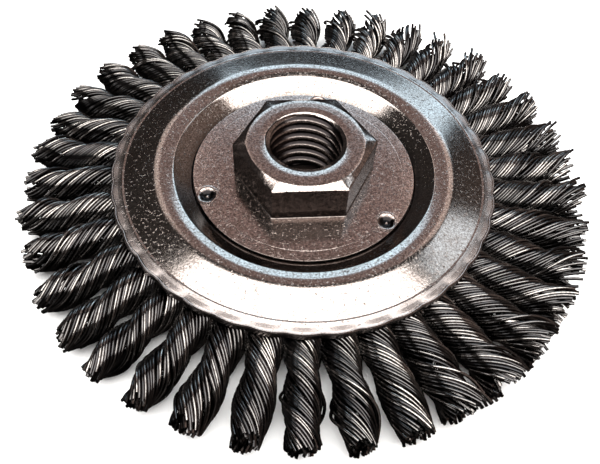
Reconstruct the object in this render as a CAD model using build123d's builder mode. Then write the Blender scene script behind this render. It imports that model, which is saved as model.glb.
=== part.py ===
from build123d import *
import os

# Twisted-knot wire wheel brush for an angle grinder.
#
# The arbor axis is Z and the hex nut points up. The origin is on the axis, at the
# level of the surface that the wheel lies on, so the rear plate's crest is at Z = 0.
# All sizes are in millimetres.

# ---------------------------------------------------------------- driving dimensions

WHEEL_RADIUS = 57.0  # to the trimmed wire tips
KNOT_COUNT = 38
KNOT_START_ANGLE = 7.3  # of the first knot, from +X

PLATE_RADIUS = 38.0
SHEET = 1.0  # thickness of both stamped plates
SHOULDER_RADIUS = 26.1
SHOULDER_HEIGHT = 4.82  # above the wheel's mid-plane, like the heights below
CREST_INNER_RADIUS = 28.0
CREST_INNER_HEIGHT = 5.24
CREST_OUTER_RADIUS = 29.6
CREST_OUTER_HEIGHT = 5.28
FLANGE_INNER_RADIUS = 35.9
FLANGE_HEIGHT = 4.4
RIM_ROUNDING = 1.2
RIM_SKIRT = 0.2  # straight edge below the rounding
SEAT_BEND = 0.4
SHOULDER_BEND = 1.3
CREST_BEND = 8.0
FLANGE_BEND = 0.5
SCALLOP_RADIUS = 4.0
SCALLOP_DEPTH = 0.35  # the rim draws in a little between two knots

ANCHOR_THICKNESS = 1.6
ANCHOR_RADIUS = 34.2
ANCHOR_HOLE_RADIUS = 1.75
ANCHOR_HOLE_CIRCLE = 31.2

WASHER_RADIUS = 22.5
WASHER_THICKNESS = 0.9
WASHER_ROUNDING = 0.3
WASHER_MARGIN = 0.2  # from the washer's edge to the corner of the plate's seat
STAKE_COUNT = 3
STAKE_CIRCLE = 20.4
STAKE_START_ANGLE = 84.0
STAKE_MOUTH_RADIUS = 2.1
STAKE_FLOOR_RADIUS = 1.1
STAKE_DEPTH = 0.7

NUT_ACROSS_FLATS = 24.6
NUT_HEIGHT = 8.2  # from the washer to the top face
NUT_FLAT_ANGLE = 277.0  # direction that one flat faces
NUT_TOP_FACE_RADIUS = 11.5
NUT_CROWN_HEIGHT = 0.55  # from the top of the flats to the round top face
SPIGOT_RADIUS = 9.5
THREAD_MINOR_RADIUS = 6.8  # 5/8-11 UNC
COUNTERSINK_RADIUS = 8.0
COUNTERSINK_ANGLE = 120.0
LIP_RADIUS = 11.8  # spigot end, rolled over the rear washer
LIP_THICKNESS = 1.2
LIP_ROUNDING = 1.0
LIP_BORE_CHAMFER = 0.7

STRAND_RADIUS = 2.05  # of one twisted leg of a knot, pressed into the other
STRAND_OFFSET = 0.85  # of a leg's centre from the knot's own axis
TIP_FLARE = 1.15  # the legs open out by this much at the tips
TWIST_PITCH = 20.0
TWIST_STEPS = 16  # sections that the twisted length is lofted through
TWIST_START_RADIUS = 36.0
LOOP_WIRE_RADIUS = 1.35  # of the untwisted bundle where it passes the anchor disc
LOOP_END_OFFSET = 1.4  # of the untwisted bundle where it joins its twisted leg
LOOP_CLEARANCE = 0.05  # between the untwisted bundle and the anchor disc
LOOP_BEND_RADIUS = 1.7
LOOP_SPREAD_RADIUS = 33.6  # the legs start to close in here
LOOP_CLOSING_BEND = 4.0
LOOP_OVERLAP = 0.4  # how far the untwisted bundle runs into the twisted one
TRIM_ALLOWANCE = 0.5  # extra length that the trimming cut takes off

CUTTER_HEIGHT = 30.0  # of the trimming cylinder, taller than the wheel

# ---------------------------------------------------------------- worked-out sizes

SEAT_HEIGHT = ANCHOR_THICKNESS / 2 + SHEET  # top of the front plate's seat
WASHER_TOP = SEAT_HEIGHT + WASHER_THICKNESS
SEAT_EDGE_RADIUS = WASHER_RADIUS + WASHER_MARGIN
NUT_CORNER_ANGLE = NUT_FLAT_ANGLE + 30  # half a flat further round
KNOT_PITCH_ANGLE = 360 / KNOT_COUNT
LOOP_OFFSET = ANCHOR_THICKNESS / 2 + LOOP_WIRE_RADIUS + LOOP_CLEARANCE
TWIST_LENGTH = WHEEL_RADIUS + TRIM_ALLOWANCE - TWIST_START_RADIUS

os.makedirs("parts", exist_ok=True)

# The sheet's outer face, from the spigot outwards: flat seat, steep rise, broad crest,
# long slope, narrow flange and turned-down rim. Heights are from the mid-plane.
with BuildSketch(Plane.XZ) as plate_section:
    with BuildLine():
        FilletPolyline(
            (SPIGOT_RADIUS, SEAT_HEIGHT),
            (SEAT_EDGE_RADIUS, SEAT_HEIGHT),
            (SHOULDER_RADIUS, SHOULDER_HEIGHT),
            (CREST_INNER_RADIUS, CREST_INNER_HEIGHT),
            (CREST_OUTER_RADIUS, CREST_OUTER_HEIGHT),
            (FLANGE_INNER_RADIUS, FLANGE_HEIGHT),
            (PLATE_RADIUS, FLANGE_HEIGHT),
            (PLATE_RADIUS, FLANGE_HEIGHT - RIM_ROUNDING - RIM_SKIRT),
            radius=[SEAT_BEND, SHOULDER_BEND, CREST_BEND, CREST_BEND, FLANGE_BEND, RIM_ROUNDING],
        )
        offset(amount=SHEET, side=Side.RIGHT)
    make_face()

# The wheel lies on the rear plate's crest, so that crest sets the mid-plane's height.
MID_HEIGHT = plate_section.sketch.bounding_box().max.Z

# ---------------------------------------------------------------- hub plates

with BuildPart() as front_plate:
    with BuildSketch(Plane.XZ):
        with Locations((0, MID_HEIGHT)):
            add(plate_section.sketch_local)
    revolve(axis=Axis.Z)
    with Locations((0, 0, MID_HEIGHT + FLANGE_HEIGHT)):
        with PolarLocations(
            PLATE_RADIUS + SCALLOP_RADIUS - SCALLOP_DEPTH,
            KNOT_COUNT,
            start_angle=KNOT_START_ANGLE + KNOT_PITCH_ANGLE / 2,
        ):
            Cylinder(SCALLOP_RADIUS, FLANGE_HEIGHT, mode=Mode.SUBTRACT)
front_plate.part.label = "front_plate"
export_step(front_plate.part, "parts/front_plate.step")

with BuildPart() as rear_plate:
    mirror(front_plate.part, about=Plane.XY.offset(MID_HEIGHT))
rear_plate.part.label = "rear_plate"
export_step(rear_plate.part, "parts/rear_plate.step")

# Every knot is folded through its own hole near the edge of this inner disc.
with BuildPart() as anchor_disc:
    with BuildSketch(Plane.XY.offset(MID_HEIGHT - ANCHOR_THICKNESS / 2)):
        Circle(ANCHOR_RADIUS)
        Circle(SPIGOT_RADIUS, mode=Mode.SUBTRACT)
        with PolarLocations(ANCHOR_HOLE_CIRCLE, KNOT_COUNT, start_angle=KNOT_START_ANGLE):
            Circle(ANCHOR_HOLE_RADIUS, mode=Mode.SUBTRACT)
    extrude(amount=ANCHOR_THICKNESS)
anchor_disc.part.label = "anchor_disc"
export_step(anchor_disc.part, "parts/anchor_disc.step")

# ---------------------------------------------------------------- washers

# The front washer is locked to the plate below by three punched stake marks.
with BuildPart() as front_washer:
    with BuildSketch(Plane.XY.offset(MID_HEIGHT + SEAT_HEIGHT)):
        Circle(WASHER_RADIUS)
        Circle(SPIGOT_RADIUS, mode=Mode.SUBTRACT)
    extrude(amount=WASHER_THICKNESS)
    fillet(front_washer.edges().group_by(Axis.Z)[-1].sort_by(SortBy.LENGTH)[-1], WASHER_ROUNDING)
    with Locations((0, 0, MID_HEIGHT + WASHER_TOP - STAKE_DEPTH / 2)):
        with PolarLocations(STAKE_CIRCLE, STAKE_COUNT, start_angle=STAKE_START_ANGLE):
            Cone(STAKE_FLOOR_RADIUS, STAKE_MOUTH_RADIUS, STAKE_DEPTH, mode=Mode.SUBTRACT)
front_washer.part.label = "front_washer"
export_step(front_washer.part, "parts/front_washer.step")

with BuildPart() as rear_washer:
    with BuildSketch(Plane.XY.offset(MID_HEIGHT - WASHER_TOP)):
        Circle(WASHER_RADIUS)
        Circle(SPIGOT_RADIUS, mode=Mode.SUBTRACT)
    extrude(amount=WASHER_THICKNESS)
    fillet(rear_washer.edges().group_by(Axis.Z)[0].sort_by(SortBy.LENGTH)[-1], WASHER_ROUNDING)
rear_washer.part.label = "rear_washer"
export_step(rear_washer.part, "parts/rear_washer.step")

# ---------------------------------------------------------------- arbor nut

nut_seat = MID_HEIGHT + WASHER_TOP
nut_top = nut_seat + NUT_HEIGHT
lip_top = MID_HEIGHT - WASHER_TOP
lip_bottom = lip_top - LIP_THICKNESS

with BuildPart() as arbor_nut:
    with BuildSketch(Plane.XY.offset(nut_seat)):
        RegularPolygon(
            NUT_ACROSS_FLATS / 2, 6, major_radius=False, rotation=NUT_CORNER_ANGLE
        )
    extrude(amount=NUT_HEIGHT - NUT_CROWN_HEIGHT)
    # A crown blends the hexagon into the round top face.
    with BuildSketch(Plane.XY.offset(nut_top - NUT_CROWN_HEIGHT)):
        RegularPolygon(
            NUT_ACROSS_FLATS / 2, 6, major_radius=False, rotation=NUT_CORNER_ANGLE
        )
    with BuildSketch(Plane.XY.offset(nut_top).rotated((0, 0, NUT_CORNER_ANGLE))):
        Circle(NUT_TOP_FACE_RADIUS)
    loft(ruled=True)
    # The spigot runs through the plates and ends in a rolled-over lip.
    with BuildSketch(Plane.XZ):
        Polygon(
            (0, lip_bottom),
            (LIP_RADIUS, lip_bottom),
            (LIP_RADIUS, lip_top),
            (SPIGOT_RADIUS, lip_top),
            (SPIGOT_RADIUS, nut_seat),
            (0, nut_seat),
            align=None,
        )
    revolve(axis=Axis.Z)
    fillet(arbor_nut.edges().group_by(Axis.Z)[0], LIP_ROUNDING)
    with Locations((0, 0, nut_top)):
        CounterSinkHole(THREAD_MINOR_RADIUS, COUNTERSINK_RADIUS, counter_sink_angle=COUNTERSINK_ANGLE)
    chamfer(
        arbor_nut.edges().filter_by(GeomType.CIRCLE).group_by(Axis.Z)[0].sort_by(SortBy.LENGTH)[0],
        LIP_BORE_CHAMFER,
    )
arbor_nut.part.label = "arbor_nut"
export_step(arbor_nut.part, "parts/arbor_nut.step")

# ---------------------------------------------------------------- wire knots

# One knot, in its own frame: Z runs along the knot away from the hub and X is the
# wheel's axis. A bundle of wire is folded through the anchor disc and its two legs are
# twisted round each other with a left-hand lay.
with BuildPart() as knot_shape:
    with BuildLine() as loop_path:
        FilletPolyline(
            (LOOP_END_OFFSET, 0, TWIST_START_RADIUS + LOOP_OVERLAP),
            (LOOP_OFFSET, 0, LOOP_SPREAD_RADIUS),
            (LOOP_OFFSET, 0, ANCHOR_HOLE_CIRCLE),
            (-LOOP_OFFSET, 0, ANCHOR_HOLE_CIRCLE),
            (-LOOP_OFFSET, 0, LOOP_SPREAD_RADIUS),
            (-LOOP_END_OFFSET, 0, TWIST_START_RADIUS + LOOP_OVERLAP),
            radius=[LOOP_CLOSING_BEND, LOOP_BEND_RADIUS, LOOP_BEND_RADIUS, LOOP_CLOSING_BEND],
        )
    with BuildSketch(Plane(loop_path.line @ 0, z_dir=loop_path.line % 0)):
        Circle(LOOP_WIRE_RADIUS)
    sweep(path=loop_path.line)
    for step in range(TWIST_STEPS + 1):
        along = step / TWIST_STEPS
        reach = along * TWIST_LENGTH
        grow = 1 + (TIP_FLARE - 1) * along
        section = Plane.XY.offset(TWIST_START_RADIUS + reach)
        with BuildSketch(section.rotated((0, 0, -360 * reach / TWIST_PITCH))):
            with Locations((STRAND_OFFSET * grow, 0), (-STRAND_OFFSET * grow, 0)):
                Circle(STRAND_RADIUS * grow)
    loft()

# The trimming cut leaves every tip on the wheel's own radius.
for number in range(KNOT_COUNT):
    angle = KNOT_START_ANGLE + number * KNOT_PITCH_ANGLE
    radial = Vector(1, 0, 0).rotate(Axis.Z, angle)
    with BuildPart() as knot:
        with Locations(Plane((0, 0, MID_HEIGHT), x_dir=(0, 0, 1), z_dir=radial)):
            add(knot_shape.part)
        Cylinder(WHEEL_RADIUS, CUTTER_HEIGHT, mode=Mode.INTERSECT)
    name = f"knot_{number + 1:02d}"
    knot.part.label = name
    export_step(knot.part, f"parts/{name}.step")
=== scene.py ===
"""Looks of a twisted-knot wire wheel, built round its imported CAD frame.

The wire knots, the threaded nut, the staked washer and the two pressed plates replace
their plain CAD nodes. Everything is in metres, in the frame's own axes: +Z along the
arbor, the nut on top.
"""

import math

import bpy
import numpy as np
from mathutils import Matrix, Vector


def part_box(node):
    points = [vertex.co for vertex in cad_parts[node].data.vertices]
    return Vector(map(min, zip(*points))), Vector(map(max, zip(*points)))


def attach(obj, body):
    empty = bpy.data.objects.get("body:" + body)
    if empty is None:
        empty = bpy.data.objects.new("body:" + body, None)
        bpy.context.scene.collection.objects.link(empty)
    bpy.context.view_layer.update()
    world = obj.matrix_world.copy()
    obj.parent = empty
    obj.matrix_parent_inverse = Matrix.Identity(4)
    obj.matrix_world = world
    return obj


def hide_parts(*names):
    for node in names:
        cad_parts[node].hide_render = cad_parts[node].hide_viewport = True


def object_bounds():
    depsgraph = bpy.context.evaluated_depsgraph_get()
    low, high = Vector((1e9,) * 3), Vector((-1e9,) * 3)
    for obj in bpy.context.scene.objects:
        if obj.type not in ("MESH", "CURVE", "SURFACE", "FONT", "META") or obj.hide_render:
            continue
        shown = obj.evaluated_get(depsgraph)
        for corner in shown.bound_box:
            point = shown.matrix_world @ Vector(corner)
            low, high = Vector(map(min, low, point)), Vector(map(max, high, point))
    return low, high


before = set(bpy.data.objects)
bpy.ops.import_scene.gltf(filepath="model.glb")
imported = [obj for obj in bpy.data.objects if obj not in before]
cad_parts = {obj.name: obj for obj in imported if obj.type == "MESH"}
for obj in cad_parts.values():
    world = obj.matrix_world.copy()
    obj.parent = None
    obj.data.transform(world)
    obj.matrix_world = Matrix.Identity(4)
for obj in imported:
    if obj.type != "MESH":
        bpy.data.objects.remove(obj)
cad_low, cad_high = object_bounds()

MM = 0.001
TURN = 2 * math.pi

# ------------------------------------------------------------------ sizes, millimetres


def height_range(node):
    """Lowest and highest Z of a CAD node."""
    low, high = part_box(node)
    return low.z / MM, high.z / MM


ANCHOR_LOW, ANCHOR_HIGH = height_range("anchor_disc")
MID_HEIGHT = (ANCHOR_LOW + ANCHOR_HIGH) / 2
WASHER_LOW, WASHER_HIGH = height_range("front_washer")
LIP_BOTTOM, NUT_TOP = height_range("arbor_nut")
LIP_TOP = height_range("rear_washer")[0]
WHEEL_RADIUS = cad_high.x / MM
PLATE_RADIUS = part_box("front_plate")[1].x / MM
WASHER_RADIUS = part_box("front_washer")[1].x / MM

SHEET = 1.0
SPIGOT_RADIUS = 9.5
SHOULDER_RADIUS = 26.1
SHOULDER_HEIGHT = 4.82
CREST_INNER_RADIUS = 28.0
CREST_INNER_HEIGHT = 5.24
CREST_OUTER_RADIUS = 29.6
CREST_OUTER_HEIGHT = 5.28
FLANGE_INNER_RADIUS = 35.9
FLANGE_HEIGHT = 4.4
RIM_ROUNDING = 1.2
RIM_SKIRT = 0.2
SCALLOP_DEPTH = 0.35  # the rim draws in between two knots
PRESSED_DEPTH = 0.15  # and is pressed down there by this much
CLEARANCE = 0.02  # keeps neighbouring pieces from sharing a face
FLOOR_CLEARANCE = 0.03  # least height of a wire's surface
PAINTED_SHADE_WIDTH = 1.4  # of the painted shade that lies round the washer's edge, in the groove that the washer shades

WASHER_EDGE_WIDTH = 0.14  # of the worn edge, seen from above
WASHER_EDGE_SETBACK = 0.02
SCRIBED_RADIUS = 20.25  # of the fine turned ring on the washer
SCRIBED_WIDTH = 0.26
SCRIBED_DEPTH = 0.012
STAKE_COUNT = 3
STAKE_CIRCLE = 20.4
STAKE_START_ANGLE = 84.0
STAKE_MOUTH_RADIUS = 1.85
STAKE_FLOOR_RADIUS = 0.45
STAKE_DEPTH = 0.5
STAKE_PIP_HEIGHT = 0.25  # of the small raised point that the punch leaves
STAKE_PIP_RADIUS = 0.35
STAKE_LIP_HEIGHT = 0.05  # of the metal pushed up round the mouth
STAKE_LIP_WIDTH = 0.3

NUT_ACROSS_FLATS = 24.6
NUT_FLAT_ANGLE = 277.0
NUT_TOP_FACE_RADIUS = 11.5
NUT_CROWN_HEIGHT = 0.55
NUT_CORNER_ROUNDING = 0.25
NUT_FOOT_FILLET = 0.22
NUT_EDGE_BEVEL = 0.06
THREAD_MINOR_RADIUS = 6.8
THREAD_DEPTH = 1.1
THREAD_PITCH = 25.4 / 11
BORE_STEP = 0.08  # between the rows of points down the thread
BORE_SHADE_HEIGHT = 4.0  # how far up from its lower end the bore has painted shade
COUNTERSINK_RADIUS = 8.0
COUNTERSINK_SLOPE = math.tan(math.radians(60))
LIP_RADIUS = 11.8
LIP_ROUNDING = 1.0
LIP_BORE_CHAMFER = 0.7

KNOT_COUNT = 38
WIRE_RADIUS = 0.29
STRAND_RADIUS = 2.05
STRAND_OFFSET = 0.85
KNOT_RADIUS = STRAND_RADIUS + STRAND_OFFSET
TIP_LENGTH = 9.0  # of the end where a knot opens and its twist slackens
TWIST_START_RADIUS = 36.0
TWIST_PITCH = 20.0
ANCHOR_HOLE_CIRCLE = 31.2
LOOP_OFFSET = 2.2
LOOP_END_OFFSET = 1.4
LOOP_SPREAD_RADIUS = 33.6

# ------------------------------------------------------------------ camera


def make_camera():
    """A close, slightly rolled camera that looks down on the wheel from the front."""
    elevation = math.radians(48.73)
    pitch_down = math.radians(5.01)
    roll = math.radians(3.72)
    distance = 0.1282
    centre = Vector((0, 0, MID_HEIGHT * MM))
    towards = Vector((0, math.cos(elevation), -math.sin(elevation)))
    right = Vector((1, 0, 0))
    ahead = Matrix.Rotation(-pitch_down, 3, right) @ towards
    up = right.cross(ahead)
    rolled_right = right * math.cos(roll) + up * math.sin(roll)
    rolled_up = up * math.cos(roll) - right * math.sin(roll)
    data = bpy.data.cameras.new("camera")
    data.sensor_width = 36.0
    data.lens = 36.95
    data.clip_start = 0.005
    camera = bpy.data.objects.new("camera", data)
    bpy.context.scene.collection.objects.link(camera)
    turn = Matrix((rolled_right, rolled_up, -ahead)).transposed()
    camera.matrix_world = Matrix.Translation(centre - towards * distance) @ turn.to_4x4()
    bpy.context.scene.camera = camera


make_camera()

# ------------------------------------------------------------------ mesh helpers


def make_object(name, points, faces, sharp_degrees=30.0, stands_for=()):
    """A closed, smooth-shaded piece from points in millimetres, riding on the wheel."""
    mesh = bpy.data.meshes.new(name)
    mesh.from_pydata((np.asarray(points) * MM).tolist(), [], faces)
    mesh.polygons.foreach_set("use_smooth", np.ones(len(mesh.polygons), bool))
    mesh.set_sharp_from_angle(angle=math.radians(sharp_degrees))
    mesh.update()
    piece = bpy.data.objects.new(name, mesh)
    bpy.context.scene.collection.objects.link(piece)
    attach(piece, "root")
    if stands_for:
        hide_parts(*stands_for)
    return piece


def add_attribute(piece, name, values):
    """Stores one number per point for the piece's material to read."""
    attribute = piece.data.attributes.new(name, "FLOAT", "POINT")
    attribute.data.foreach_set("value", np.asarray(values, np.float32).ravel())


def ring_grid(radii, heights, angles):
    """Points and faces of a ring whose cross-section is a closed loop at every angle.

    radii and heights are (rows, columns) arrays; rows go round the cross-section with
    the metal on their left, columns go round the axis."""
    rows, columns = radii.shape
    points = np.stack(
        [radii * np.cos(angles), radii * np.sin(angles), heights], axis=-1
    ).reshape(-1, 3)
    row, column = np.meshgrid(np.arange(rows), np.arange(columns), indexing="ij")
    next_row, next_column = (row + 1) % rows, (column + 1) % columns
    faces = np.stack(
        [
            row * columns + column,
            row * columns + next_column,
            next_row * columns + next_column,
            next_row * columns + column,
        ],
        axis=-1,
    ).reshape(-1, 4)
    return points, faces.tolist()


def rounded_path(corners, bends, steps=7):
    """A polyline of (radius, height) corners with each inner corner turned into an arc."""
    path = [np.array(corners[0], float)]
    for before, corner, after, bend in zip(corners, corners[1:], corners[2:], bends):
        corner = np.array(corner, float)
        back = np.array(before, float) - corner
        onward = np.array(after, float) - corner
        back /= np.linalg.norm(back)
        onward /= np.linalg.norm(onward)
        half_angle = math.acos(np.clip(back @ onward, -1, 1)) / 2
        reach = bend / math.tan(half_angle)
        centre = corner + (back + onward) / np.linalg.norm(back + onward) * (
            bend / math.sin(half_angle)
        )
        start, end = corner + back * reach - centre, corner + onward * reach - centre
        first = math.atan2(start[1], start[0])
        swing = (math.atan2(end[1], end[0]) - first + math.pi) % TURN - math.pi
        for step in range(steps + 1):
            angle = first + swing * step / steps
            path.append(centre + bend * np.array([math.cos(angle), math.sin(angle)]))
    path.append(np.array(corners[-1], float))
    return np.array(path)


def divided(path, longest):
    """The same path with extra points, so that no stretch is longer than longest."""
    points = [path[0]]
    for start, end in zip(path, path[1:]):
        count = max(1, math.ceil(np.linalg.norm(end - start) / longest))
        points += [start + (end - start) * (k + 1) / count for k in range(count)]
    return np.array(points)


def smoothstep(low, high, value):
    """0 below low, 1 above high and a smooth rise between."""
    t = np.clip((value - low) / (high - low), 0, 1)
    return t * t * (3 - 2 * t)


def knot_direction(number):
    """The angle of a knot's own axis, read from its CAD node."""
    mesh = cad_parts[f"knot_{number:02d}"].data
    points = np.zeros(len(mesh.vertices) * 3, np.float32)
    mesh.vertices.foreach_get("co", points)
    middle = points.reshape(-1, 3).mean(0)
    return math.atan2(middle[1], middle[0])


FIRST_KNOT_ANGLE = knot_direction(1)

# How the knots have worn, round the wheel in degrees from +X: how far their tips have
# opened, how much they close to a point, the share of outer wires that stand loose, and
# how thick and round they are. Each figure runs from 0 to 1.
WEAR_ANGLES = (0, 30, 65, 90, 120, 180, 215, 235, 280, 300, 330, 360)
OPENED = (0.85, 0.75, 0.6, 0.3, 0.15, 0.2, 0.1, 0.05, 0.15, 0.7, 1.0, 0.85)
POINTED = (0.1, 0.15, 0.3, 0.7, 1.0, 1.0, 0.7, 0.3, 0.3, 0.1, 0.0, 0.1)
LOOSE = (0.3, 0.35, 0.35, 0.3, 0.25, 0.16, 0.12, 0.1, 0.12, 0.15, 0.2, 0.3)
FULL = (0.95, 0.8, 0.6, 0.6, 0.85, 0.9, 0.7, 0.45, 0.5, 0.95, 1.0, 0.95)


def wear(table, degrees, rng, spread):
    """A wear figure at that place on the wheel, with some scatter, from 0 to 1."""
    value = float(np.interp(degrees, WEAR_ANGLES, table)) + rng.normal(0, spread)
    return min(1.0, max(0.0, value))


# ------------------------------------------------------------------ plates


def plate_path():
    """The sheet's outer face as (radius, height above the mid-plane)."""
    seat = WASHER_LOW - MID_HEIGHT
    corners = [
        (SPIGOT_RADIUS + CLEARANCE, seat),
        # a shallow step that the washer lies in
        (WASHER_RADIUS + 0.06, seat),
        (WASHER_RADIUS + 0.1, seat + 0.5),
        (SHOULDER_RADIUS, SHOULDER_HEIGHT),
        (CREST_INNER_RADIUS, CREST_INNER_HEIGHT),
        (CREST_OUTER_RADIUS, CREST_OUTER_HEIGHT),
        # a fine crease where the flange begins
        (FLANGE_INNER_RADIUS - 0.25, FLANGE_HEIGHT + 0.03),
        (FLANGE_INNER_RADIUS + 0.05, FLANGE_HEIGHT + 0.09),
        (FLANGE_INNER_RADIUS + 0.9, FLANGE_HEIGHT + 0.02),
        # a shallow groove just inside the turned-down rim
        (PLATE_RADIUS - 0.3, FLANGE_HEIGHT + 0.02),
        (PLATE_RADIUS - 0.1, FLANGE_HEIGHT - 0.07),
        (PLATE_RADIUS + 0.05, FLANGE_HEIGHT - 0.02),
        (PLATE_RADIUS + 0.32, FLANGE_HEIGHT - 0.3),
        (PLATE_RADIUS + 0.34, FLANGE_HEIGHT - RIM_ROUNDING - RIM_SKIRT),
    ]
    bends = [0.05, 0.1, 1.3, 8.0, 8.0, 0.25, 0.15, 0.5, 0.15, 0.05, 0.1, 0.3]
    return divided(rounded_path(corners, bends), 0.8)


def plate_inner_path():
    """The sheet's inner face, one thickness below a plain outer face."""
    seat = WASHER_LOW - MID_HEIGHT - SHEET
    corners = [
        (SPIGOT_RADIUS + CLEARANCE, seat),
        (WASHER_RADIUS + 0.7, seat),
        (SHOULDER_RADIUS + 0.4, SHOULDER_HEIGHT - SHEET - 0.05),
        (CREST_INNER_RADIUS + 0.1, CREST_INNER_HEIGHT - SHEET),
        (CREST_OUTER_RADIUS, CREST_OUTER_HEIGHT - SHEET),
        (FLANGE_INNER_RADIUS, FLANGE_HEIGHT - SHEET),
        (PLATE_RADIUS - SHEET, FLANGE_HEIGHT - SHEET),
        (PLATE_RADIUS - SHEET, FLANGE_HEIGHT - RIM_ROUNDING - RIM_SKIRT),
    ]
    return divided(rounded_path(corners, [1.0, 0.8, 4.0, 4.0, 0.5, 0.2]), 1.5)


def make_plate(name, side):
    """One stamped cover; side is 1 for the front and -1 for the rear."""
    section = np.concatenate([plate_path(), plate_inner_path()[::-1]])
    angles = np.linspace(0, TURN, KNOT_COUNT * 12, endpoint=False)

    # 0 over a knot, falling to -1 halfway to the next one.
    wave = np.cos(KNOT_COUNT * (angles - FIRST_KNOT_ANGLE))
    lobe = np.sqrt((1 + wave) / 2) - 1

    radii = section[:, :1] + np.zeros_like(angles)
    heights = section[:, 1:] + np.zeros_like(angles)
    near_rim = smoothstep(FLANGE_INNER_RADIUS, PLATE_RADIUS, section[:, :1])
    radii = radii + SCALLOP_DEPTH * near_rim * lobe
    heights = heights + PRESSED_DEPTH * near_rim * lobe
    points, faces = ring_grid(radii, MID_HEIGHT + side * heights, angles)
    if side > 0:
        faces = [face[::-1] for face in faces]
    piece = make_object(f"{name}_stamping", points, faces, 35.0, [name])
    # Painted shade: the sheet is darkened in the groove round the washer's edge, where the washer
    # shades it.
    unshaded = smoothstep(WASHER_RADIUS + 0.3, WASHER_RADIUS + PAINTED_SHADE_WIDTH, radii)
    add_attribute(piece, "painted_shade", 0.45 * (1 - unshaded))
    rubbed = 0.8 * smoothstep(FLANGE_INNER_RADIUS + 0.1, FLANGE_INNER_RADIUS + 0.5, radii)
    add_attribute(piece, "rubbed", rubbed)
    return piece


# ------------------------------------------------------------------ washer


def stake_distance(x, y):
    """Distance from the nearest of the punched stake marks."""
    away = np.full_like(x, WASHER_RADIUS)
    for number in range(STAKE_COUNT):
        angle = math.radians(STAKE_START_ANGLE + 360 / STAKE_COUNT * number)
        across, along = STAKE_CIRCLE * math.cos(angle), STAKE_CIRCLE * math.sin(angle)
        away = np.minimum(away, np.hypot(x - across, y - along))
    return away


def make_front_washer():
    """The disc under the nut, with a scribed ring, a narrow worn edge and stake marks."""
    edge_drop = WASHER_EDGE_WIDTH - WASHER_EDGE_SETBACK
    underside = WASHER_LOW + CLEARANCE / 2
    corners = [
        (SPIGOT_RADIUS + CLEARANCE, WASHER_HIGH),
        (SCRIBED_RADIUS - SCRIBED_WIDTH / 2, WASHER_HIGH),
        (SCRIBED_RADIUS, WASHER_HIGH - SCRIBED_DEPTH),
        (SCRIBED_RADIUS + SCRIBED_WIDTH / 2, WASHER_HIGH),
        (WASHER_RADIUS - WASHER_EDGE_WIDTH, WASHER_HIGH),
        (WASHER_RADIUS - WASHER_EDGE_SETBACK, WASHER_HIGH - edge_drop),
        (WASHER_RADIUS, underside),
        (SPIGOT_RADIUS + CLEARANCE, underside),
    ]
    section = divided(rounded_path(corners, [0.1, 0.1, 0.1, 0.08, 0.08, 0.05]), 0.2)
    angles = np.linspace(0, TURN, 600, endpoint=False)
    radii = section[:, :1] + np.zeros_like(angles)
    heights = section[:, 1:] + np.zeros_like(angles)
    on_top = smoothstep(WASHER_LOW + 0.1, WASHER_HIGH - 0.4, heights)
    away = stake_distance(radii * np.cos(angles), radii * np.sin(angles))
    pit = -STAKE_DEPTH * (1 - smoothstep(STAKE_FLOOR_RADIUS, STAKE_MOUTH_RADIUS, away))
    pip = STAKE_PIP_HEIGHT * np.exp(-((away / STAKE_PIP_RADIUS) ** 2))
    past_mouth = away - STAKE_MOUTH_RADIUS - STAKE_LIP_WIDTH / 2
    lip = STAKE_LIP_HEIGHT * np.exp(-((past_mouth / STAKE_LIP_WIDTH) ** 2))
    points, faces = ring_grid(radii, heights + on_top * (pit + pip + lip), angles)
    faces = [face[::-1] for face in faces]
    name = "front_washer"
    piece = make_object(f"{name}_disc", points, faces, 50.0, [name])

    # Painted shade in the punch marks, round their pips, and down the washer's edge wall.
    punched = smoothstep(0.1, 0.3, away) * (1 - smoothstep(1.25, 1.7, away))
    on_edge = 0.8 * smoothstep(WASHER_RADIUS - 0.2, WASHER_RADIUS - WASHER_EDGE_SETBACK, radii)
    add_attribute(piece, "painted_shade", np.maximum(punched, on_edge))
    return piece


# ------------------------------------------------------------------ arbor nut


def hexagon_radius(angles):
    """Distance from the axis to the hexagon's side, with slightly rounded corners."""
    sixth = TURN / 6
    off_flat = (angles - math.radians(NUT_FLAT_ANGLE) + sixth / 2) % sixth - sixth / 2
    apothem = NUT_ACROSS_FLATS / 2
    plain = apothem / np.cos(off_flat)
    corner = apothem / math.cos(sixth / 2)
    cut_back = 0.155 * NUT_CORNER_ROUNDING  # what the rounding takes off a 120 degree corner
    rounded = corner - cut_back
    blend = smoothstep(0, 0.3, plain - rounded + 0.15)
    return plain * (1 - blend) + np.minimum(plain, rounded) * blend


def thread_radius(heights, angles):
    """Radius of the threaded wall: a right-hand thread with rounded crests and roots."""
    turn = heights / THREAD_PITCH - angles / TURN
    depth = (1 - np.cos(TURN * turn)) / 2
    return THREAD_MINOR_RADIUS + THREAD_DEPTH * depth


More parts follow.
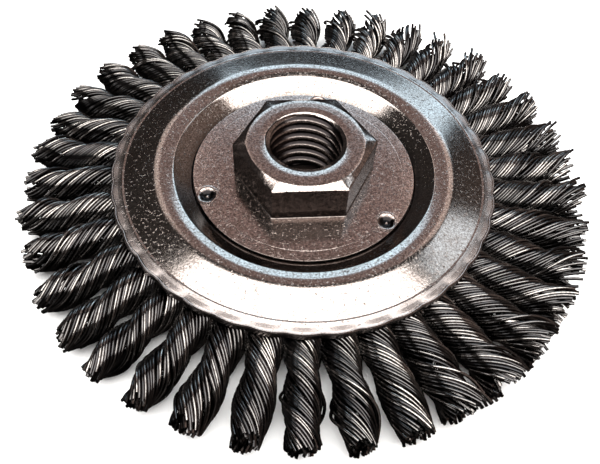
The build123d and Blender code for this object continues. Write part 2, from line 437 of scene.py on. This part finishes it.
def make_arbor_nut():
    """The hex nut with its helical thread, its spigot and the rolled-over lip."""
    angles = math.radians(NUT_FLAT_ANGLE + 30) + np.linspace(0, TURN, 360, endpoint=False)
    flat = np.zeros_like(angles)
    hexagon = hexagon_radius(angles)
    rows = []

    # Up the bore: its lower chamfer, the thread and the countersink.
    bore_heights = np.concatenate(
        [
            np.linspace(LIP_BOTTOM, LIP_BOTTOM + LIP_BORE_CHAMFER, 8)[:-1],
            np.arange(LIP_BOTTOM + LIP_BORE_CHAMFER, NUT_TOP - BORE_STEP, BORE_STEP),
            [NUT_TOP - BORE_STEP],
        ]
    )
    for height in bore_heights:
        countersink = COUNTERSINK_RADIUS - (NUT_TOP - height) * COUNTERSINK_SLOPE
        chamfer = THREAD_MINOR_RADIUS + LIP_BORE_CHAMFER - (height - LIP_BOTTOM)
        wall = np.maximum(thread_radius(height, angles), max(countersink, chamfer))
        rows.append((wall, flat + height))

    # Across the top face, and over the crown to the hexagon.
    inset = 0.08
    for radius in (COUNTERSINK_RADIUS + inset, 9.6, 10.6, NUT_TOP_FACE_RADIUS - inset):
        rows.append((flat + radius, flat + NUT_TOP))
    for share in (0.06, 0.2, 0.35, 0.5, 0.65, 0.8, 0.94):
        radius = NUT_TOP_FACE_RADIUS + share * (hexagon - NUT_TOP_FACE_RADIUS)
        rows.append((radius, flat + NUT_TOP - share * NUT_CROWN_HEIGHT))

    # Down the flats to a small fillet that stands on the washer.
    edge = flat + NUT_TOP - NUT_CROWN_HEIGHT - NUT_EDGE_BEVEL
    foot = WASHER_HIGH + CLEARANCE / 2
    for share in (0.0, 0.25, 0.5, 0.75):
        rows.append((hexagon, edge + share * (foot + NUT_FOOT_FILLET - edge)))
    for turn in np.linspace(0, math.pi / 2, 5):
        spread = NUT_FOOT_FILLET * (1 - math.cos(turn))
        rows.append((hexagon + spread, flat + foot + NUT_FOOT_FILLET * (1 - math.sin(turn)) + 0.03))
    rows.append((hexagon + NUT_FOOT_FILLET, flat + foot))

    # Down the spigot, and round its rolled-over end back to the bore.
    lip = rounded_path(
        [
            (SPIGOT_RADIUS, foot),
            (SPIGOT_RADIUS, LIP_TOP),
            (LIP_RADIUS, LIP_TOP),
            (LIP_RADIUS, LIP_BOTTOM),
            (THREAD_MINOR_RADIUS + LIP_BORE_CHAMFER, LIP_BOTTOM),
        ],
        [0.05, 0.1, LIP_ROUNDING],
    )
    for radius, height in lip[:-1]:
        rows.append((flat + radius, flat + height))
    rows.append((flat + THREAD_MINOR_RADIUS + LIP_BORE_CHAMFER + 0.2, flat + LIP_BOTTOM))

    radii = np.array([row[0] for row in rows])
    heights = np.array([row[1] for row in rows])
    points, faces = ring_grid(radii, heights, angles)
    faces = [face[::-1] for face in faces]
    name = "arbor_nut"
    piece = make_object(f"{name}_threaded", points, faces, 25.0, [name])

    # Painted shade in the thread's roots, low in the bore and, thinly, on the flats.
    root = smoothstep(THREAD_MINOR_RADIUS + 0.1, THREAD_MINOR_RADIUS + 0.45, radii)
    deep = 1 - smoothstep(LIP_BOTTOM, LIP_BOTTOM + BORE_SHADE_HEIGHT, heights)
    in_bore = (radii < COUNTERSINK_RADIUS + 0.05) & (heights < NUT_TOP - 0.75)
    on_flats = (heights < NUT_TOP - NUT_CROWN_HEIGHT) & (radii > NUT_TOP_FACE_RADIUS + 0.3)
    add_attribute(piece, "painted_shade", in_bore * np.maximum(root, deep) + 0.45 * on_flats)
    return piece


# ------------------------------------------------------------------ wire knots


def tubes(centres, radius, sides, reference):
    """Points and faces of closed round tubes along (wires, steps, 3) centre lines."""
    wires, steps, _ = centres.shape
    along = np.gradient(centres, axis=1)
    along /= np.linalg.norm(along, axis=2, keepdims=True)
    first = reference - (along @ reference)[..., None] * along
    first /= np.linalg.norm(first, axis=2, keepdims=True)
    second = np.cross(along, first)
    turn = np.arange(sides) / sides * TURN
    rings = centres[:, :, None] + radius * (
        np.cos(turn)[:, None] * first[:, :, None] + np.sin(turn)[:, None] * second[:, :, None]
    )
    points = rings.reshape(-1, 3)
    base = np.arange(wires)[:, None, None] * steps * sides
    step = np.arange(steps - 1)[None, :, None] * sides
    side = np.arange(sides)[None, None, :]
    after = (side + 1) % sides
    walls = np.stack(
        [
            base + step + side,
            base + step + after,
            base + step + sides + after,
            base + step + sides + side,
        ],
        axis=-1,
    ).reshape(-1, 4)
    start_caps = base[:, 0] + np.arange(sides)[::-1]
    end_caps = base[:, 0] + (steps - 1) * sides + np.arange(sides)
    return points, walls.tolist() + start_caps.tolist() + end_caps.tolist()


def lobe_layout(rng):
    """Places of one leg's wires in its cross-section, from the skin inwards."""
    # radius, number of wires and half the arc that they spread over, in radians
    layers = [(STRAND_RADIUS - WIRE_RADIUS, 13, 2.05), (1.22, 7, 1.8), (0.66, 4, 1.6)]
    places = []
    for radius, count, half_arc in layers:
        for number in range(count):
            spread = (number + 0.5) / count * 2 - 1
            angle = spread * half_arc + rng.normal(0, 0.035)
            reach = radius + rng.normal(-0.02, 0.05)
            places.append((STRAND_OFFSET + reach * math.cos(angle), reach * math.sin(angle)))
    skin = layers[0][1]
    return np.array(places), np.arange(len(places)) < skin


def leg_reach(places, knot):
    """Each wire's distance from the knot's axis; the legs of a full knot fill a circle."""
    reach = np.hypot(places[:, 0], places[:, 1])
    off_lobe = STRAND_OFFSET * places[:, 1] / reach
    edge = STRAND_OFFSET * places[:, 0] / reach + np.sqrt(STRAND_RADIUS**2 - off_lobe**2)
    return reach * (KNOT_RADIUS / edge) ** (0.65 * knot["full"])


def tip_zone(out):
    """0 along most of a knot, rising to 1 at its tip."""
    return smoothstep(WHEEL_RADIUS - TIP_LENGTH, WHEEL_RADIUS, out)


def leg_swell(out, knot):
    """A leg's thickness against its plain one, at each distance from the wheel's axis."""
    start = TWIST_START_RADIUS
    base = 1.06 + 0.34 * knot["full"] * (1 - smoothstep(start + 5, start + 15, out))
    club = (0.08 + 0.22 * knot["full"]) * smoothstep(start + 8, WHEEL_RADIUS - 6, out)
    close = -(0.15 + 0.58 * knot["point"]) * smoothstep(WHEEL_RADIUS - 7, WHEEL_RADIUS, out)
    close = close * (1 - knot["fray"])
    open_out = 0.42 * knot["fray"] * tip_zone(out) ** 1.4
    return base + club + close + open_out


def knot_wires(rng, places, along_steps, lobe_turn, knot):
    """Centre lines of one leg's wires in the knot's own frame (axis, sideways, out)."""
    count = len(places)
    fray = knot["fray"]
    start = TWIST_START_RADIUS
    reach = leg_reach(places, knot)
    rim = reach / KNOT_RADIUS
    facing = np.arctan2(places[:, 1], places[:, 0]) + lobe_turn + knot["phase"]

    # Where each wire ends: raggedly, over a dome that is cut at a slant.
    end_turn = (WHEEL_RADIUS - start) / knot["pitch"] * TURN
    slant = knot["slant"] * rim * (1 + np.cos(facing - end_turn - knot["slant_way"])) / 2
    ragged = np.abs(rng.normal(0, 0.3 + 0.6 * fray + 1.2 * knot["point"], count))
    tip = WHEEL_RADIUS - 0.05 - ragged - knot["taper"] * rim**3 - slant
    share = np.linspace(0, 1, along_steps)[None, :]
    out = start + (tip[:, None] - start) * share
    length = out - start

    # The twist, which slackens towards the tip.
    unlay = 1 - (0.15 + 0.6 * fray) * tip_zone(out)
    step = np.diff(length, axis=1, prepend=length[:, :1])
    turned = np.cumsum(step * unlay, axis=1) / knot["pitch"] * TURN
    angle = facing[:, None] - turned

    # Each wire wanders a little from its even place.
    waves = rng.normal(0, 0.09, (count, 1)) * np.sin(
        length * rng.uniform(0.3, 0.75, (count, 1)) + rng.uniform(0, TURN, (count, 1))
    )
    unevenness = waves * rim[:, None] * (0.6 + fray * tip_zone(out))
    radial = reach[:, None] * leg_swell(out, knot) + unevenness
    drift = rng.normal(0, 0.05, (count, 1)) * share
    up = radial * np.cos(angle + drift)
    side = -radial * np.sin(angle + drift)

    # Loose outer wires bow out of the lay and part from it at the tip.
    loose = (rng.uniform(size=count) < knot["loose"]) & (rim > 0.75)
    lift = (loose * rng.uniform(0.2, 1.0, count) * (0.5 + 5.0 * knot["loose"]))[:, None]
    parting = rng.uniform(0.35, 0.7, (count, 1))
    bend = smoothstep(parting, 1.0, share) * lift
    bow = loose[:, None] * 0.5 * np.sin(math.pi * smoothstep(parting - 0.25, 1.0, share))
    spread = np.hypot(up, side)
    up = up + (bend * 0.6 + bow) * up / spread
    side = side + (bend * 0.6 + bow) * side / spread + 0.5 * bend * fray

    # The whole knot leans from its root.
    along = smoothstep(start, WHEEL_RADIUS, out)
    up = up + knot["rise"] * along
    side = side + knot["lean"] * along
    return np.stack([up, side, out], axis=-1)


def loop_wires(places):
    """Centre lines of the untwisted bundle, folded through the anchor disc's hole."""
    corners = [
        (TWIST_START_RADIUS + 0.4, LOOP_END_OFFSET),
        (LOOP_SPREAD_RADIUS, LOOP_OFFSET),
        (ANCHOR_HOLE_CIRCLE, LOOP_OFFSET),
        (ANCHOR_HOLE_CIRCLE, -LOOP_OFFSET),
        (LOOP_SPREAD_RADIUS, -LOOP_OFFSET),
        (TWIST_START_RADIUS + 0.4, -LOOP_END_OFFSET),
    ]
    path = rounded_path(corners, [4.0, 1.7, 1.7, 4.0], steps=5)
    along = np.gradient(path, axis=0)
    along /= np.linalg.norm(along, axis=1)[:, None]
    across = np.stack([along[:, 1], -along[:, 0]], axis=1)
    lines = []
    for inward, sideways in places:
        flat = path + across * inward
        lines.append(np.stack([flat[:, 1], np.full(len(flat), sideways), flat[:, 0]], axis=-1))
    return np.array(lines)


def loop_layout():
    """One wire, six round it and twelve round those."""
    places = [(0.0, 0.0)]
    for radius, count in ((0.52, 6), (1.05, 12)):
        for number in range(count):
            angle = TURN * number / count
            places.append((radius * math.cos(angle), radius * math.sin(angle)))
    return places


def make_knot(number):
    """One knot: two legs of wire twisted round each other, and their fold at the hub."""
    rng = np.random.default_rng(4100 + number)
    direction = knot_direction(number)
    degrees = math.degrees(direction) % 360
    fray = wear(OPENED, degrees, rng, 0.06)
    knot = {
        "fray": fray,
        "point": wear(POINTED, degrees, rng, 0.1),
        "loose": wear(LOOSE, degrees, rng, 0.02),
        "full": wear(FULL, degrees, rng, 0.05),
        "pitch": TWIST_PITCH * rng.uniform(0.88, 1.15),
        "phase": -0.8 + rng.normal(0, 0.25),
        "taper": (1 - fray) * rng.uniform(0.6, 1.8),
        "slant": (1.0 - 0.5 * fray) * rng.uniform(0.2, 2.2),
        "slant_way": rng.uniform(0, TURN),
        "rise": rng.normal(0, 0.2),
        "lean": rng.normal(0, 0.35),
    }
    batches = []
    for lobe_turn in (0.0, math.pi):
        places, is_skin = lobe_layout(rng)
        for mask, steps, sides in ((is_skin, 36, 8), (~is_skin, 16, 6)):
            lines = knot_wires(rng, places[mask], steps, lobe_turn, knot)
            batches.append((lines, sides, (1.0, 0.0, 0.0)))
    batches.append((loop_wires(loop_layout()), 6, (0.0, 1.0, 0.0)))

    points, faces, tones = [], [], []
    offset = 0
    for lines, sides, reference in batches:
        more_points, more_faces = tubes(lines, WIRE_RADIUS, sides, np.array(reference))
        faces += [[index + offset for index in face] for face in more_faces]
        offset += len(more_points)
        points.append(more_points)
        wire_tones = rng.uniform(0, 1, len(lines))
        tones.append(np.repeat(wire_tones, lines.shape[1] * sides))
    points = np.concatenate(points)

    outward = np.array([math.cos(direction), math.sin(direction), 0.0])
    sideways = np.array([-math.sin(direction), math.cos(direction), 0.0])
    placed = (
        points[:, :1] * np.array([0.0, 0.0, 1.0])
        + points[:, 1:2] * sideways
        + points[:, 2:] * outward
    )
    placed[:, 2] = np.maximum(placed[:, 2] + MID_HEIGHT, FLOOR_CLEARANCE)
    name = f"knot_{number:02d}"
    piece = make_object(f"{name}_wires", placed, faces, 50.0, [name])
    add_attribute(piece, "wire_tone", np.concatenate(tones))
    return piece


# ------------------------------------------------------------------ materials


class Surface:
    """A node material with short ways to add the nodes that the steels share."""

    def __init__(self, name):
        self.material = bpy.data.materials.new(name)
        self.material.use_nodes = True
        self.nodes = self.material.node_tree.nodes
        self.links = self.material.node_tree.links
        self.shader = self.nodes["Principled BSDF"]
        self.place = self.nodes.new("ShaderNodeTexCoord").outputs["Object"]

    def noise(self, size_mm, detail=3.0, roughness=0.6):
        """Noise whose features are about size_mm across."""
        mapping = self.nodes.new("ShaderNodeMapping")
        mapping.inputs["Scale"].default_value = [1 / (size_mm * MM)] * 3
        self.links.new(self.place, mapping.inputs["Vector"])
        noise = self.nodes.new("ShaderNodeTexNoise")
        noise.inputs["Scale"].default_value = 1.0
        noise.inputs["Detail"].default_value = detail
        noise.inputs["Roughness"].default_value = roughness
        self.links.new(mapping.outputs["Vector"], noise.inputs["Vector"])
        return noise.outputs["Fac"]

    def turned(self, size_mm):
        """Fine rings about the arbor axis, as a lathe or a spinning brush leaves them."""
        parts = self.nodes.new("ShaderNodeSeparateXYZ")
        self.links.new(self.place, parts.inputs["Vector"])
        flat = self.nodes.new("ShaderNodeCombineXYZ")
        self.links.new(parts.outputs["X"], flat.inputs["X"])
        self.links.new(parts.outputs["Y"], flat.inputs["Y"])
        length = self.nodes.new("ShaderNodeVectorMath")
        length.operation = "LENGTH"
        self.links.new(flat.outputs["Vector"], length.inputs[0])
        noise = self.nodes.new("ShaderNodeTexNoise")
        noise.noise_dimensions = "1D"
        noise.inputs["Scale"].default_value = 1 / (size_mm * MM)
        noise.inputs["Detail"].default_value = 3.0
        self.links.new(length.outputs["Value"], noise.inputs["W"])
        return noise.outputs["Fac"]

    def ramp(self, value, stops):
        """A colour ramp; stops are (position, colour or grey value)."""
        node = self.nodes.new("ShaderNodeValToRGB")
        ramp = node.color_ramp
        while len(ramp.elements) < len(stops):
            ramp.elements.new(0.5)
        for element, (position, colour) in zip(ramp.elements, stops):
            element.position = position
            rgb = (colour,) * 3 if isinstance(colour, (int, float)) else colour
            element.color = (*rgb, 1.0)
        self.links.new(value, node.inputs["Fac"])
        return node.outputs["Color"]

    def mix(self, share, first, second):
        """Moves from a first value or colour to a second, as far as a share socket says."""
        node = self.nodes.new("ShaderNodeMix")
        node.data_type = "RGBA"
        self.links.new(share, node.inputs[0])
        self.links.new(first, node.inputs[6])
        node.inputs[7].default_value = (*second, 1.0)
        return node.outputs[2]

    def bump(self, height, depth_mm, strength=1.0, below=None):
        """A bump of the given depth, laid over an earlier one if there is one."""
        node = self.nodes.new("ShaderNodeBump")
        node.inputs["Strength"].default_value = strength
        node.inputs["Distance"].default_value = depth_mm * MM
        self.links.new(height, node.inputs["Height"])
        if below is not None:
            self.links.new(below, node.inputs["Normal"])
        return node.outputs["Normal"]

    def attribute(self, name):
        """A number stored with the mesh."""
        node = self.nodes.new("ShaderNodeAttribute")
        node.attribute_name = name
        return node.outputs["Fac"]

    def speckled(self, colour, normal, dark):
        """Adds scattered small dark pits to a colour and its normal."""
        cells = self.noise(0.55, detail=2.0, roughness=0.75)
        pits = self.ramp(cells, [(0.64, 0.0), (0.7, 1.0)])
        colour = self.mix(pits, colour, dark)
        return colour, self.bump(self.ramp(cells, [(0.62, 1.0), (0.7, 0.0)]), 0.02, below=normal)

    def finish(self, colour, roughness, normal, metallic=1.0):
        """Joins the last sockets to the shader and gives back the material."""
        self.links.new(colour, self.shader.inputs["Base Color"])
        self.links.new(roughness, self.shader.inputs["Roughness"])
        self.links.new(normal, self.shader.inputs["Normal"])
        self.shader.inputs["Metallic"].default_value = metallic
        return self.material


def stamped_steel():
    """Bare cold-rolled sheet: brown-grey, mottled, with a fine pressed grain."""
    s = Surface("stamped_steel")
    grain = s.noise(0.36, detail=3.0, roughness=0.75)
    blotch = s.noise(6.0, detail=3.0)
    colour = s.ramp(grain, [(0.36, (0.14, 0.118, 0.108)), (0.64, (0.37, 0.335, 0.315))])
    colour = s.mix(s.ramp(blotch, [(0.35, 0.0), (0.7, 0.45)]), colour, (0.17, 0.13, 0.11))
    roughness = s.ramp(s.noise(0.7, detail=3.0), [(0.3, 0.08), (0.75, 0.15)])
    normal = s.bump(s.noise(3.5), 0.02, 0.3)
    normal = s.bump(grain, 0.01, 0.6, below=normal)
    colour, normal = s.speckled(colour, normal, (0.05, 0.04, 0.035))
    # Painted shade, stored with the mesh: the groove round the washer's edge is darkened.
    colour = s.mix(s.attribute("painted_shade"), colour, (0.012, 0.011, 0.011))
    colour = s.mix(s.attribute("rubbed"), colour, (0.2, 0.176, 0.168))
    roughness = s.mix(s.attribute("rubbed"), roughness, (0.3, 0.3, 0.3))
    return s.finish(colour, roughness, normal)


def washer_steel():
    """The same bare steel, browner, with faint rings and small pits, and painted shade in the punch
    marks and down the edge.
    """
    s = Surface("washer_steel")
    grain = s.noise(0.34, detail=3.0, roughness=0.75)
    colour = s.ramp(grain, [(0.37, (0.11, 0.088, 0.08)), (0.64, (0.38, 0.32, 0.295))])
    colour = s.mix(s.ramp(s.noise(5.0), [(0.4, 0.0), (0.7, 0.4)]), colour, (0.19, 0.14, 0.12))
    roughness = s.ramp(s.noise(0.6), [(0.3, 0.1), (0.75, 0.19)])
    normal = s.bump(s.turned(0.25), 0.006, 0.25)
    normal = s.bump(grain, 0.015, 0.7, below=normal)
    colour, normal = s.speckled(colour, normal, (0.045, 0.035, 0.03))
    # Painted shade, stored with the mesh: dark in the punch marks and down the washer's edge.
    colour = s.mix(s.attribute("painted_shade"), colour, (0.01, 0.009, 0.009))
    return s.finish(colour, roughness, normal)


def nut_steel():
    """Machined bar steel with turning marks, with painted shade down in the thread, low in the bore
    and on the flats.
    """
    s = Surface("nut_steel")
    grain = s.noise(0.34, detail=3.0, roughness=0.7)
    colour = s.ramp(grain, [(0.36, (0.12, 0.098, 0.088)), (0.64, (0.35, 0.3, 0.278))])
    roughness = s.ramp(s.noise(0.7), [(0.3, 0.1), (0.75, 0.2)])
    normal = s.bump(s.turned(0.2), 0.006, 0.3)
    normal = s.bump(grain, 0.012, 0.6, below=normal)
    # Painted shade, stored with the mesh: dark in the thread's roots, low in the bore and on the
    # flats.
    colour = s.mix(s.attribute("painted_shade"), colour, (0.012, 0.01, 0.01))
    return s.finish(colour, roughness, normal)


def wire_steel():
    """Dark tempered wire, each one a little lighter or browner than the next."""
    s = Surface("wire_steel")
    base = s.ramp(
        s.attribute("wire_tone"),
        [(0.0, (0.024, 0.024, 0.025)), (0.6, (0.085, 0.081, 0.079)), (1.0, (0.28, 0.26, 0.245))],
    )
    scale = s.noise(0.5, detail=3.0)
    colour = s.mix(s.ramp(scale, [(0.42, 0.0), (0.7, 0.6)]), base, (0.03, 0.024, 0.021))
    roughness = s.ramp(s.noise(0.4), [(0.3, 0.08), (0.75, 0.2)])
    normal = s.bump(s.noise(0.12, detail=2.0), 0.005, 0.5)
    return s.finish(colour, roughness, normal)


def floor_paint():
    """Plain pale matt floor, with a painted shadow where the wheel hides it below its bore."""
    s = Surface("floor")
    faint = s.noise(60.0, detail=2.0)
    pale = s.ramp(faint, [(0.3, 0.9), (0.7, 0.93)])
    length = s.nodes.new("ShaderNodeVectorMath")
    length.operation = "LENGTH"
    s.links.new(s.place, length.inputs[0])
    # Painted shadow: the floor under the bore is dark, as if the wheel shaded it.
    painted_shadow = s.ramp(length.outputs["Value"], [(SPIGOT_RADIUS * MM, 1.0), (0.02, 0.0)])
    colour = s.mix(painted_shadow, pale, (0.02, 0.013, 0.011))
    roughness = s.ramp(faint, [(0.3, 0.85), (0.7, 0.95)])
    normal = s.bump(faint, 0.01, 0.1)
    s.finish(colour, roughness, normal, metallic=0.0)
    s.shader.inputs["Specular IOR Level"].default_value = 0.1
    return s.material


# ------------------------------------------------------------------ the wheel

STEELS = {
    "stamped_steel": stamped_steel(),
    "washer_steel": washer_steel(),
    "nut_steel": nut_steel(),
    "wire_steel": wire_steel(),
}


def dress(piece, slot):
    """Gives every material slot of a piece the named steel."""
    piece.data.materials.clear()
    piece.data.materials.append(STEELS[slot])


dress(make_plate("front_plate", 1), "stamped_steel")
dress(make_plate("rear_plate", -1), "stamped_steel")
dress(make_front_washer(), "washer_steel")
dress(make_arbor_nut(), "nut_steel")
for knot_number in range(1, KNOT_COUNT + 1):
    dress(make_knot(knot_number), "wire_steel")
dress(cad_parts["anchor_disc"], "stamped_steel")
dress(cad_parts["rear_washer"], "washer_steel")

# ------------------------------------------------------------------ floor and light


def make_floor():
    """A wide plain floor under the wheel."""
    half = 2.0
    mesh = bpy.data.meshes.new("floor")
    mesh.from_pydata(
        [(-half, -half, 0), (half, -half, 0), (half, half, 0), (-half, half, 0)], [], [(0, 1, 2, 3)]
    )
    floor = bpy.data.objects.new("floor", mesh)
    bpy.context.scene.collection.objects.link(floor)
    mesh.materials.append(floor_paint())
    floor.visible_glossy = False


def panel(name, location, size, radiance, colour, shape="RECTANGLE"):
    """A soft light at location (metres), facing the wheel."""
    data = bpy.data.lights.new(name, "AREA")
    data.shape = shape
    data.size, data.size_y = size
    fill = math.pi / 4 if shape == "ELLIPSE" else 1.0
    data.energy = radiance * math.pi * size[0] * size[1] * fill
    data.color = colour
    light = bpy.data.objects.new(name, data)
    away = Vector(location).normalized()
    across = (Vector((1, 0, 0)) - away * away.x).normalized()
    turn = Matrix((across, away.cross(across), away)).transposed()
    light.matrix_world = Matrix.Translation(location) @ turn.to_4x4()
    bpy.context.scene.collection.objects.link(light)


def make_world():
    """Dim surroundings with a brown glow to the right, dark below the horizon."""
    world = bpy.data.worlds.new("studio")
    world.use_nodes = True
    nodes, links = world.node_tree.nodes, world.node_tree.links
    place = nodes.new("ShaderNodeTexCoord")
    parts = nodes.new("ShaderNodeSeparateXYZ")
    links.new(place.outputs["Generated"], parts.inputs["Vector"])

    def ramp(socket, stops):
        node = nodes.new("ShaderNodeValToRGB")
        links.new(socket, node.inputs["Fac"])
        for element, (position, colour) in zip(node.color_ramp.elements, stops):
            element.position = position
            element.color = (*colour, 1.0)
        return node.outputs["Color"]

    across = ramp(parts.outputs["X"], [(0.4, (0.075, 0.066, 0.064)), (0.65, (0.42, 0.32, 0.28))])
    above = ramp(parts.outputs["Z"], [(0.0, (0.25, 0.25, 0.25)), (0.12, (1.0, 1.0, 1.0))])
    both = nodes.new("ShaderNodeMix")
    both.data_type = "RGBA"
    both.blend_type = "MULTIPLY"
    both.inputs[0].default_value = 1.0
    links.new(across, both.inputs[6])
    links.new(above, both.inputs[7])
    links.new(both.outputs[2], nodes["Background"].inputs["Color"])
    bpy.context.scene.world = world
    bpy.context.scene.view_settings.view_transform = "Standard"


make_floor()
make_world()
panel("overhead_softbox", (0.02, -0.08, 0.9), (1.34, 0.98), 8.0, (1.0, 0.99, 0.97), "ELLIPSE")
panel("cool_back_light", (0.08, 0.834, 0.552), (0.66, 0.28), 4.0, (0.62, 0.84, 1.0))
panel("cool_low_glow", (0.08, 0.95, 0.31), (0.9, 0.3), 0.08, (0.45, 0.75, 1.0))
panel("brown_card", (0.0, 0.643, 0.766), (0.5, 0.34), 0.55, (1.0, 0.74, 0.69))
panel("left_card", (-0.285, 0.629, 0.724), (0.15, 0.3), 1.6, (1.0, 0.88, 0.82))
panel("right_card", (0.285, 0.629, 0.724), (0.15, 0.3), 1.6, (1.0, 0.84, 0.77))
panel("cool_side_light", (0.45, 0.42, 0.78), (0.14, 0.22), 3.0, (0.8, 0.92, 1.0))
panel("left_light", (-1.0, -0.3, 0.42), (0.35, 0.5), 2.5, (0.97, 0.98, 1.0))
panel("left_glow", (-0.8, 0.58, 0.26), (0.35, 0.32), 0.4, (1.0, 0.88, 0.82))
panel("low_front_light", (0.0, -1.2, 0.38), (1.2, 0.4), 0.25, (1.0, 0.97, 0.95))
